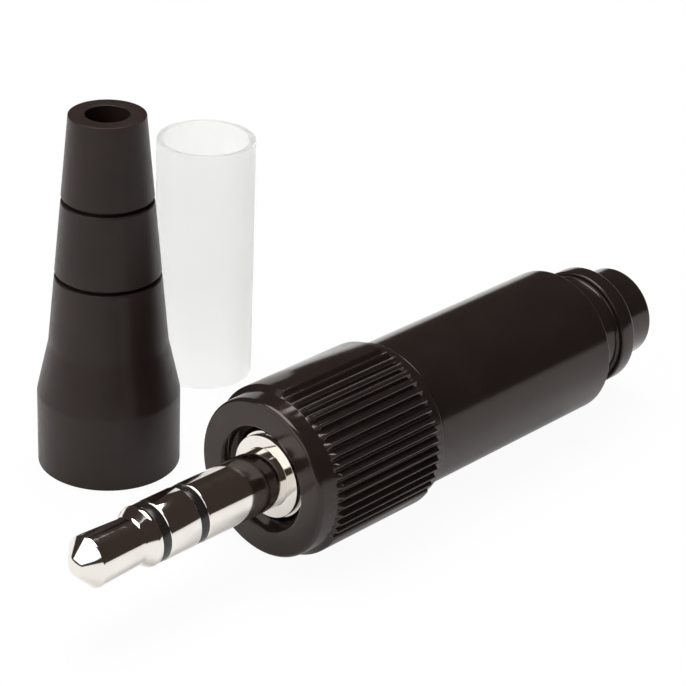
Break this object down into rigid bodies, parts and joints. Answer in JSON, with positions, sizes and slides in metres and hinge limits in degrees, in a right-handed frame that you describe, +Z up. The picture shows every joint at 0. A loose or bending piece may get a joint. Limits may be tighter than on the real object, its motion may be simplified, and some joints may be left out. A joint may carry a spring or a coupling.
{
  "type": "three-pole 3.5 mm jack plug with locking nut",
  "caption": "Straight three-pole 3.5 mm jack plug with a knurled locking nut and a round barrel, its bend relief boot and insulating tube taken off beside it.",
  "frame": {"origin": "on the plug's axis at the front face of the sleeve's flange, where the shaft begins", "axes": "+X along the plug's axis from the tip towards the cable, +Z up from the surface that the nut, boot and tube rest on"},
  "size_m": [0.0458, 0.0273, 0.0223],
  "materials": {
    "nickel_plate": "bright nickel plate on brass",
    "black_plate": "satin black plate on brass",
    "spring_steel": "plain spring wire",
    "tinned_brass": "dull tin on brass",
    "black_spacer": "moulded black plastic, slightly shiny",
    "boot_rubber": "moulded dark rubber, satin",
    "clear_tube": "milky translucent plastic"
  },
  "bodies": {
    "contact_stack": {"tip_contact": "nickel_plate", "tip_insulator": "black_spacer", "ring_contact": "nickel_plate", "ring_insulator": "black_spacer", "sleeve_contact": "nickel_plate", "threaded_body": "nickel_plate", "ground_lug": "tinned_brass", "ring_lug_washer": "black_spacer", "ring_lug": "tinned_brass", "tip_lug_washer": "black_spacer", "tip_lug": "tinned_brass", "bend_relief_boot": "boot_rubber", "insulating_tube": "clear_tube"},
    "nut_ring": {"nut_retaining_ring": "spring_steel"},
    "nut": {"locking_nut": "black_plate"},
    "barrel": {"barrel": "black_plate"}
  },
  "joints": [
    {"name": "nut_slide", "type": "slide", "parent": "contact_stack", "child": "nut_ring", "axis": [-1, 0, 0], "range_m": [0, 0.0066]},
    {"name": "nut_spin", "type": "hinge", "parent": "nut_ring", "child": "nut", "pos_m": [0, 0, 0], "axis": [1, 0, 0], "continuous": true},
    {"name": "barrel_off", "type": "slide", "parent": "contact_stack", "child": "barrel", "axis": [1, 0, 0], "range_m": [0, 0.014]}
  ]
}
